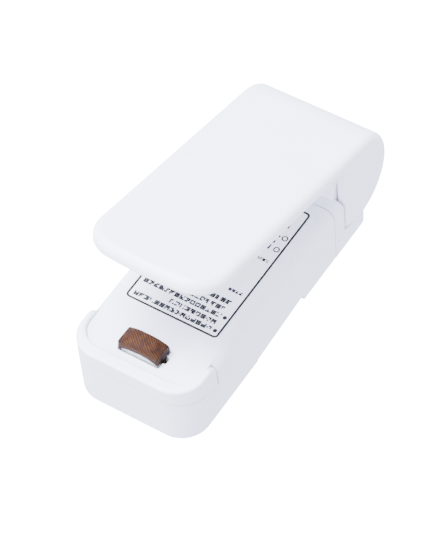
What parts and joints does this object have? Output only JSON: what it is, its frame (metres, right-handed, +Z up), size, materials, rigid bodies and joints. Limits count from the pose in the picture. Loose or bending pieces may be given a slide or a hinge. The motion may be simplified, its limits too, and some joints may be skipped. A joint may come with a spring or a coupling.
{
  "type": "bag heat sealer",
  "caption": "Palm-sized heat sealer for plastic bags: slim white housing on dry cells, a press lever hinged at the back, and a taped heating strip at the nose.",
  "frame": {"origin": "middle of the object's box, on the surface that it stands on, with the lever at rest", "axes": "+Z up, -Y towards the nose with the heater, +X the right side seen from the nose"},
  "size_m": [0.0388, 0.0988, 0.0507],
  "materials": {
    "housing_white": "moulded ABS, fine satin",
    "lever_white": "moulded ABS, fine satin",
    "frame_white": "moulded ABS, fine satin",
    "carrier_plastic": "heat-resistant moulded nylon",
    "insulator": "pressed mica and glass",
    "ribbon_alloy": "rolled nickel-chrome ribbon",
    "ptfe_glass_cloth": "brown PTFE-coated woven glass cloth",
    "label_film": "printed film",
    "cell_jacket": "printed shrink sleeve",
    "contact_metal": "nickel-plated spring steel",
    "spring_steel": "drawn spring wire",
    "pin_steel": "ground steel",
    "screw_steel": "zinc-plated steel",
    "wire_red": "PVC insulation",
    "wire_black": "PVC insulation",
    "silicone": "moulded silicone"
  },
  "bodies": {
    "body": {"top_cover": "housing_white", "nose_guard": "housing_white", "hinge_block": "housing_white", "bottom_cover": "housing_white", "battery_cell_left": "cell_jacket", "battery_cell_right": "cell_jacket", "bridge_contact": "contact_metal", "positive_terminal": "contact_metal", "negative_terminal": "contact_metal", "contact_springs": "spring_steel", "carrier_springs": "spring_steel", "switch_leaf": "contact_metal", "lead_wire_left": "wire_red", "lead_wire_right": "wire_black", "instruction_label": "label_film", "housing_screws": "screw_steel"},
    "lever": {"lever_shell": "lever_white", "lever_frame": "frame_white", "presser_pad": "silicone", "lever_screws": "screw_steel", "hinge_pin": "pin_steel", "torsion_spring": "spring_steel"},
    "heater": {"heater_carrier": "carrier_plastic", "heater_insulator": "insulator", "heating_ribbon": "ribbon_alloy", "release_tape": "ptfe_glass_cloth", "terminal_rivets": "contact_metal"},
    "door": {"battery_door": "housing_white"}
  },
  "joints": [
    {"name": "lever_hinge", "type": "hinge", "parent": "body", "child": "lever", "pos_m": [0, 0.0352, 0.018], "axis": [1, 0, 0], "range_deg": [0, 17], "stiffness_Nm_per_rad": 0.08, "springref_deg": -34.38},
    {"name": "heater_press", "type": "slide", "parent": "body", "child": "heater", "axis": [0, 0, -1], "range_m": [0, 0.0012], "stiffness_N_per_m": 900, "springref_m": -0.002, "deforming": ["carrier_springs", "lead_wire_left", "lead_wire_right", "switch_leaf"]},
    {"name": "battery_door_hinge", "type": "hinge", "parent": "body", "child": "door", "pos_m": [-0.0152, -0.00715, 0], "axis": [0, 1, 0], "range_deg": [0, 95]}
  ]
}
